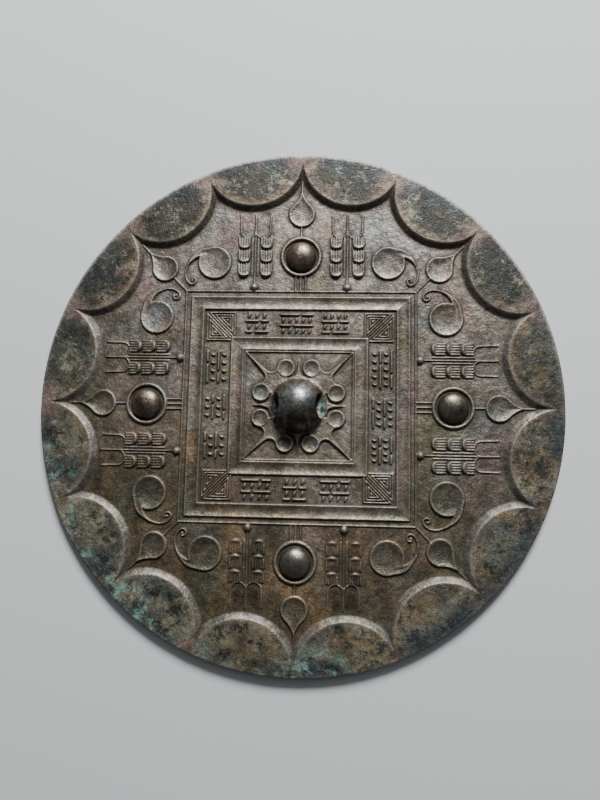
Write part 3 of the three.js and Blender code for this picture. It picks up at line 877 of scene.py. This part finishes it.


# Knob: mottled brown and grey, browner on its upper flank, and a painted pale sheen on the upper half of its
# top
def knob_colour(f):
    colour = f.mix(f.blotch(0.42, 0.58, of=(170, 5, 0.65)), (0.085, 0.062, 0.044), (0.150, 0.158, 0.152))
    knob_top = f.remap(f.height, 0.0060, 0.0088)
    upper_half = f.remap(f.along, -0.004, 0.003)
    flank = f.times(f.minus(1.0, knob_top), upper_half)
    colour = f.mix(f.times(flank, 0.75), colour, (0.150, 0.104, 0.080))
    # Painted sheen: pale grey on the upper half of the top, as a reflection of the light
    painted_sheen = f.times(f.remap(f.from_centre, 0.0115, 0.0128, 1.0, 0.0), upper_half,
                   f.blotch(0.34, 0.52, 0.25, 0.95, of=(600, 5, 0.7)), knob_top)
    return f.mix(painted_sheen, colour, (0.215, 0.236, 0.240))


# Bosses: brown, olive on the one at the right and grey on the one at the bottom of the view
def boss_colour(f):
    colour = f.mix(f.blotch(0.40, 0.60, of=(260, 6, 0.7)), (0.070, 0.043, 0.029), (0.190, 0.136, 0.104))
    colour = f.mix(f.remap(f.across, 0.030, 0.040, 0.0, 0.75), colour, (0.050, 0.058, 0.042))
    return f.mix(f.remap(f.along, -0.040, -0.030, 0.75, 0.0), colour, (0.155, 0.155, 0.140))


# Small changes of tone, pale flecks, dirt and painted shade in the hollows, and rubbed crests
def weathered_and_shaded(f, colour):
    colour = f.mix(f.remap(f.small, 0.30, 0.50, 0.60, 0.0), colour, (0.045, 0.036, 0.024))
    colour = f.tinted(colour, f.remap(f.grain, 0.30, 0.70, 0.74, 1.28))
    colour = f.tinted(colour, f.blotch(0.30, 0.70, 0.76, 1.26, of=(800, 4, 0.65)))
    colour = f.tinted(colour, f.blotch(0.36, 0.64, 0.66, 1.34, of=(190, 6, 0.7, 0.2)))
    colour = f.mix(f.blotch(0.64, 0.74, 0.0, 0.55, of=(1500, 2, 0.5)), colour, (0.330, 0.310, 0.280))
    # Dirt and painted shade in the hollows
    colour = f.mix(f.times(f.hollow, 0.85), colour, (0.028, 0.022, 0.014))
    return f.mix(f.times(f.crest_wear, 0.30), colour, (0.400, 0.365, 0.310))


# Where the mouths of the cord tunnel are, and how much of them is filled
def mouth_shares(f):
    out, aside = f.maths("ABSOLUTE", f.across), f.maths("ABSOLUTE", f.along)
    mouth = f.times(f.remap(out, 0.0050, 0.0056), f.remap(out, 0.0081, 0.0088, 1.0, 0.0),
                    f.remap(aside, 0.0029, 0.0036, 1.0, 0.0), f.remap(f.height, 0.0042, 0.0062, 1.0, 0.0),
                    f.patterned)
    filling = f.times(mouth, f.blotch(0.46, 0.52, of=(500, 5, 0.7)),
                      f.remap(f.along, -0.0006, 0.0014, 1.0, 0.25))
    return mouth, filling


# The mouths: painted shade inside them, with blue-green crumbs
def mouths_shaded_and_filled(f, colour, mouth, filling):
    # Painted shade inside the tunnel mouths
    colour = f.mix(f.times(mouth, 0.85), colour, (0.034, 0.028, 0.022))
    crumbs = f.mix(f.blotch(0.44, 0.56, of=(650, 4, 0.7)), (0.065, 0.205, 0.180), (0.190, 0.290, 0.250))
    return f.mix(f.times(filling, 0.95), colour, crumbs)


# Reflecting face: plainer grey-brown with brown and green patches
def face_colour(f):
    face = f.mix(f.remap(f.medium, 0.38, 0.62), (0.098, 0.094, 0.080), (0.180, 0.172, 0.150))
    face = f.mix(f.blotch(0.52, 0.66, 0, 0.6, of=(48, 5, 0.62, 0.4)), face, (0.130, 0.092, 0.062))
    return f.mix(f.blotch(0.55, 0.63, 0, 0.7, of=(80, 7, 0.74, 0.3)), face, (0.060, 0.096, 0.080))


# Glossier and more metallic on bosses and knob, duller under crust, filling and dirt
def set_gloss(f, crust, filling):
    rough = f.plus(f.remap(f.small, 0.3, 0.7, 0.56, 0.42), f.times(f.rim_field, 0.04))
    rough = f.minus(rough, f.times(f.dome, 0.14))
    rough = f.plus(rough, f.times(f.bosses, 0.05))
    rough = f.plus(rough, f.times(f.hollow, 0.2))
    rough = f.plus(rough, f.times(crust, 0.3))
    f.put(f.shader.inputs["Roughness"], rough)
    metal = f.minus(0.70, f.times(crust, 0.6))
    metal = f.minus(metal, f.times(f.rim_field, 0.25))
    metal = f.plus(metal, f.times(f.dome, 0.20))
    metal = f.minus(metal, f.times(f.hollow, 0.35))
    f.put(f.shader.inputs["Metallic"], f.times(metal, f.minus(1.0, filling)))
    f.shader.inputs["IOR"].default_value = 1.5


# Fine pits and grain: full on the ornament, weaker on bosses, weakest on knob and reflecting face
def set_bump(f):
    texture = f.plus(f.times(f.grain, 0.55), f.noise(560, 4, 0.52))
    texture = f.times(texture, f.plus(f.times(f.patterned, 0.75), 0.25))
    texture = f.times(texture, f.minus(1.0, f.times(f.dome, 0.7)))
    texture = f.times(texture, f.plus(1.0, f.times(f.bosses, 0.8)))
    bump = f.nodes.new("ShaderNodeBump")
    bump.inputs["Strength"].default_value = 0.8
    bump.inputs["Distance"].default_value = 0.00026
    f.put(bump.inputs["Height"], texture)
    f.put(f.shader.inputs["Normal"], bump.outputs["Normal"])


def aged_bronze():
    f = Finish("aged_bronze")
    f.read_surface()
    crust = crust_share(f)
    mouth, filling = mouth_shares(f)
    colour = f.mix(f.rim_field, ground_colour(f), rim_edge_colour(f, field_colour(f)))
    colour = crusted(f, slope_colour(f, colour), crust)
    dome_colour = f.mix(f.bosses, knob_colour(f), boss_colour(f))
    colour = weathered_and_shaded(f, f.mix(f.times(f.dome, 0.92), colour, dome_colour))
    colour = f.mix(f.patterned, face_colour(f), mouths_shaded_and_filled(f, colour, mouth, filling))
    f.put(f.shader.inputs["Base Color"], colour)
    set_gloss(f, crust, filling)
    set_bump(f)
    return f.made


casting.data.materials.clear()
casting.data.materials.append(aged_bronze())
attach(casting, "root")
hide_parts("mirror")


# Pale floor, just below the mirror
def floor():
    size = 3.0
    corners = [(-size, -size, 0), (size, -size, 0), (size, size, 0), (-size, size, 0)]
    mesh = bpy.data.meshes.new("floor")
    mesh.from_pydata(corners, [], [(0, 1, 2, 3)])
    made = bpy.data.objects.new("floor", mesh)
    made.location.z = -0.0001
    bpy.context.scene.collection.objects.link(made)
    paper = bpy.data.materials.new("pale_floor")
    paper.use_nodes = True
    shader = paper.node_tree.nodes["Principled BSDF"]
    shader.inputs["Base Color"].default_value = (0.60, 0.62, 0.63, 1)
    shader.inputs["Roughness"].default_value = 0.8
    mesh.materials.append(paper)


# Soft round light that faces the mirror's middle
def area_light(name, position, size, power, tint):
    data = bpy.data.lights.new(name, "AREA")
    data.shape = "DISK"
    data.size = size
    data.energy = power
    data.color = tint
    made = bpy.data.objects.new(name, data)
    bpy.context.scene.collection.objects.link(made)
    back = np.array(position) / np.linalg.norm(position)
    right = np.cross((0.0, 0.0, 1.0), back)
    right /= np.linalg.norm(right)
    up = np.cross(back, right)
    matrix = Matrix.Identity(4)
    for row in range(3):
        matrix[row][0], matrix[row][1], matrix[row][2] = right[row], up[row], back[row]
        matrix[row][3] = position[row]
    made.matrix_world = matrix


# Studio light from the top of the view, with faint light from all round
floor()
area_light("key", (0.12, 0.68, 0.53), 0.28, 15.0, (1.0, 1.0, 1.0))
area_light("overhead", (0.10, 0.70, 1.0), 0.9, 1.8, (0.95, 0.97, 1.0))
world = bpy.data.worlds.new("studio")
bpy.context.scene.world = world
world.use_nodes = True
world.node_tree.nodes["Background"].inputs["Color"].default_value = (0.80, 0.84, 0.88, 1)
world.node_tree.nodes["Background"].inputs["Strength"].default_value = 0.10

# Camera, placed as the photo's camera stood over the pattern
lens = bpy.data.cameras.new("camera")
lens.sensor_fit = "VERTICAL"
lens.sensor_height = 36
lens.lens = 27
lens.clip_start = 0.01
camera = bpy.data.objects.new("camera", lens)
bpy.context.scene.collection.objects.link(camera)
camera.matrix_world = Matrix((
    (0.99869, -0.01535, 0.04879, 0.00953),
    (0.02038, 0.99434, -0.10427, -0.01743),
    (-0.04692, 0.10513, 0.99335, 0.18496),
    (0, 0, 0, 1),
))
bpy.context.scene.camera = camera
